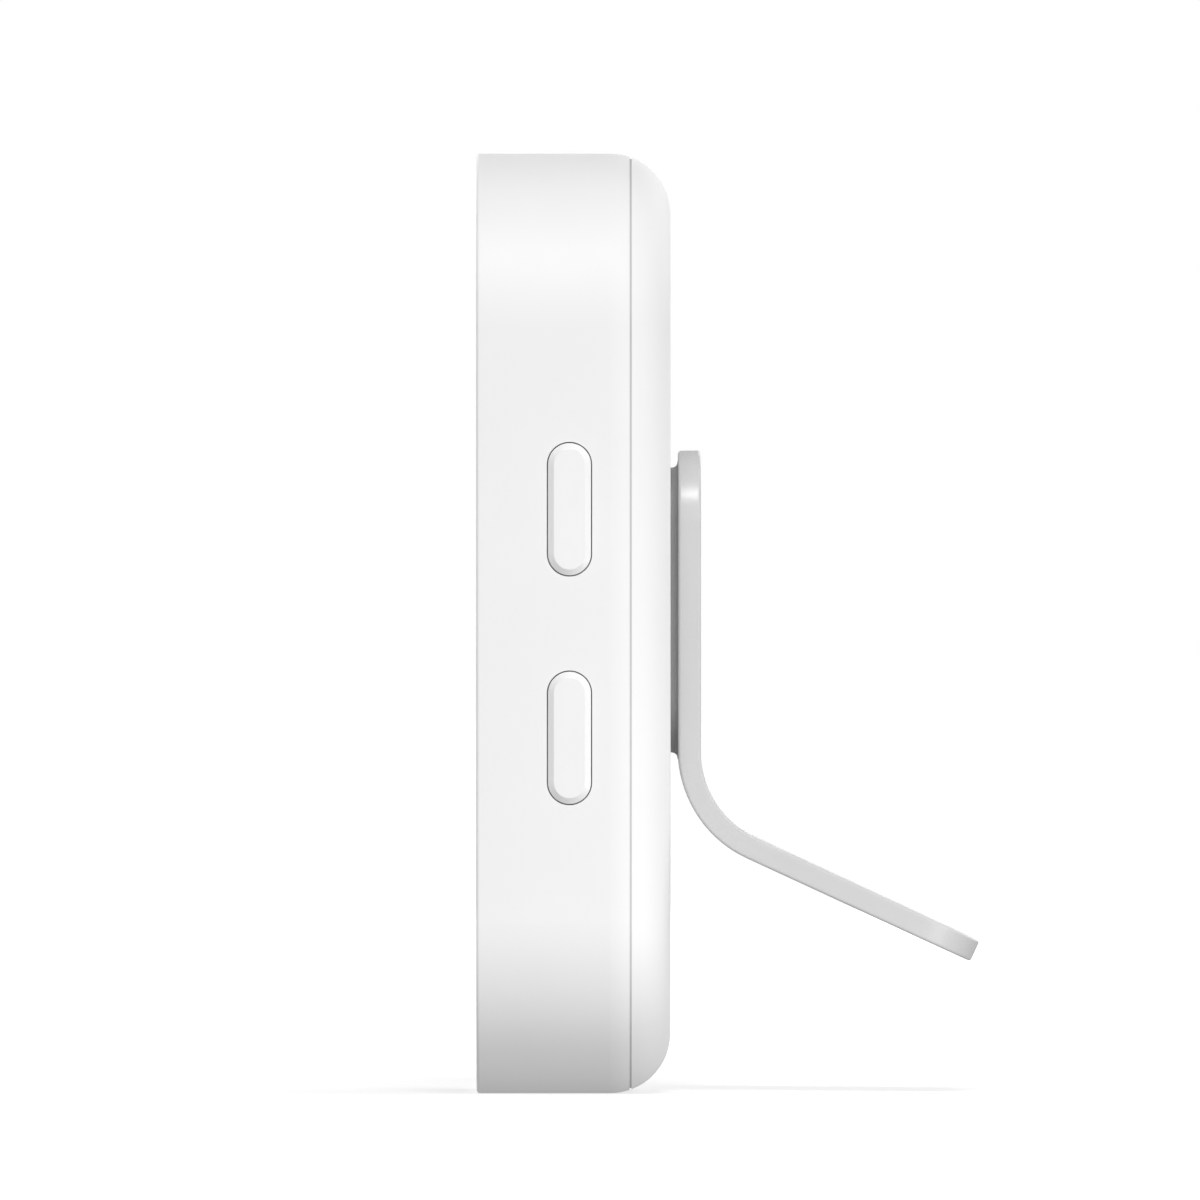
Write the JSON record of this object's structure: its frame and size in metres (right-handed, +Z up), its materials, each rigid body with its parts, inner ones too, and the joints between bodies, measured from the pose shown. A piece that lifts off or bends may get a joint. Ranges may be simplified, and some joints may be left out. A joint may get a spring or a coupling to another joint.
{
  "type": "video doorbell indoor monitor",
  "caption": "Upright white indoor monitor of a video doorbell, with a flush black glass front, side buttons and a hook-on bent-plate desk stand.",
  "frame": {"origin": "on the flat base face, on the centre plane, 10 mm behind the front rim", "axes": "+Z up, -Y towards the screen side, +X towards the side with the two buttons"},
  "size_m": [0.0848, 0.0696, 0.13],
  "materials": {
    "white_shell": "satin white moulded plastic",
    "white_key": "satin white moulded plastic",
    "cover_glass": "black back-printed cover glass, polished",
    "adhesive_black": "black foam adhesive",
    "optical_adhesive": "clear optical adhesive",
    "lcd_glass": "display cell",
    "plated_metal": "stamped, nickel plated",
    "foam_black": "open-cell foam",
    "flex_amber": "polyimide flex circuit",
    "led_lens": "clear epoxy",
    "frame_plastic": "glass-filled black plastic",
    "screw_steel": "zinc plated",
    "board_green": "solder-masked glass epoxy",
    "chip_black": "moulded epoxy",
    "thermal_blue": "silicone thermal pad",
    "connector_ivory": "moulded nylon",
    "switch_body": "moulded nylon",
    "battery_wrap": "laminated pouch foil",
    "lead_red": "silicone wire insulation",
    "cable_black": "coaxial cable jacket",
    "cone_black": "treated speaker diaphragm",
    "magnet_steel": "nickel plated",
    "mesh_black": "fine acoustic mesh",
    "cap_rubber": "light grey silicone",
    "stand_coat": "fine light grey powder coat",
    "neck_grey": "mid grey moulded plastic"
  },
  "bodies": {
    "monitor": {"main_housing": "white_shell", "front_glass": "cover_glass", "glass_adhesive": "adhesive_black", "lcd_optical_adhesive": "optical_adhesive", "lcd_panel": "lcd_glass", "lcd_backlight": "plated_metal", "lcd_foam_frame": "foam_black", "lcd_flex": "flex_amber", "touch_key_flex": "flex_amber", "status_led": "led_lens", "microphone": "plated_metal", "mid_frame": "frame_plastic", "frame_screws": "screw_steel", "main_board": "board_green", "processor_chip": "chip_black", "thermal_pad": "thermal_blue", "board_chips": "chip_black", "board_connectors": "connector_ivory", "wifi_shield": "plated_metal", "power_shield": "plated_metal", "usb_c_shell": "plated_metal", "usb_c_tongue": "chip_black", "reset_switch": "switch_body", "battery_tray": "frame_plastic", "board_screws": "screw_steel", "battery_pad": "foam_black", "battery": "battery_wrap", "battery_lead": "lead_red", "wifi_antenna": "flex_amber", "antenna_cable": "cable_black", "side_key_board": "board_green", "side_key_bracket": "plated_metal", "side_key_flex": "flex_amber", "upper_key_switch": "switch_body", "lower_key_switch": "switch_body", "speaker_chamber": "frame_plastic", "speaker_screws": "screw_steel", "speaker_frame": "chip_black", "speaker_magnet": "magnet_steel", "speaker_cone": "cone_black", "speaker_gasket": "foam_black", "speaker_mesh": "mesh_black", "speaker_lead": "lead_red", "rear_cover": "white_shell", "rear_cover_screws": "screw_steel", "screw_caps": "cap_rubber"},
    "upper_button": {"upper_side_button": "white_key", "upper_switch_plunger": "chip_black"},
    "lower_button": {"lower_side_button": "white_key", "lower_switch_plunger": "chip_black"},
    "reset_pin": {"reset_plunger": "switch_body"},
    "stand": {"stand_plate": "stand_coat", "stand_neck": "neck_grey", "stand_screws": "screw_steel"}
  },
  "joints": [
    {"name": "upper_button_press", "type": "slide", "parent": "monitor", "child": "upper_button", "axis": [-1, 0, 0], "range_m": [0, 0.0004], "stiffness_N_per_m": 400},
    {"name": "lower_button_press", "type": "slide", "parent": "monitor", "child": "lower_button", "axis": [-1, 0, 0], "range_m": [0, 0.0004], "stiffness_N_per_m": 400},
    {"name": "reset_press", "type": "slide", "parent": "monitor", "child": "reset_pin", "axis": [1, 0, 0], "range_m": [0, 0.0003], "stiffness_N_per_m": 150},
    {"name": "stand_unhook", "type": "slide", "parent": "monitor", "child": "stand", "axis": [0, 0, -1], "range_m": [0, 0.006]}
  ]
}
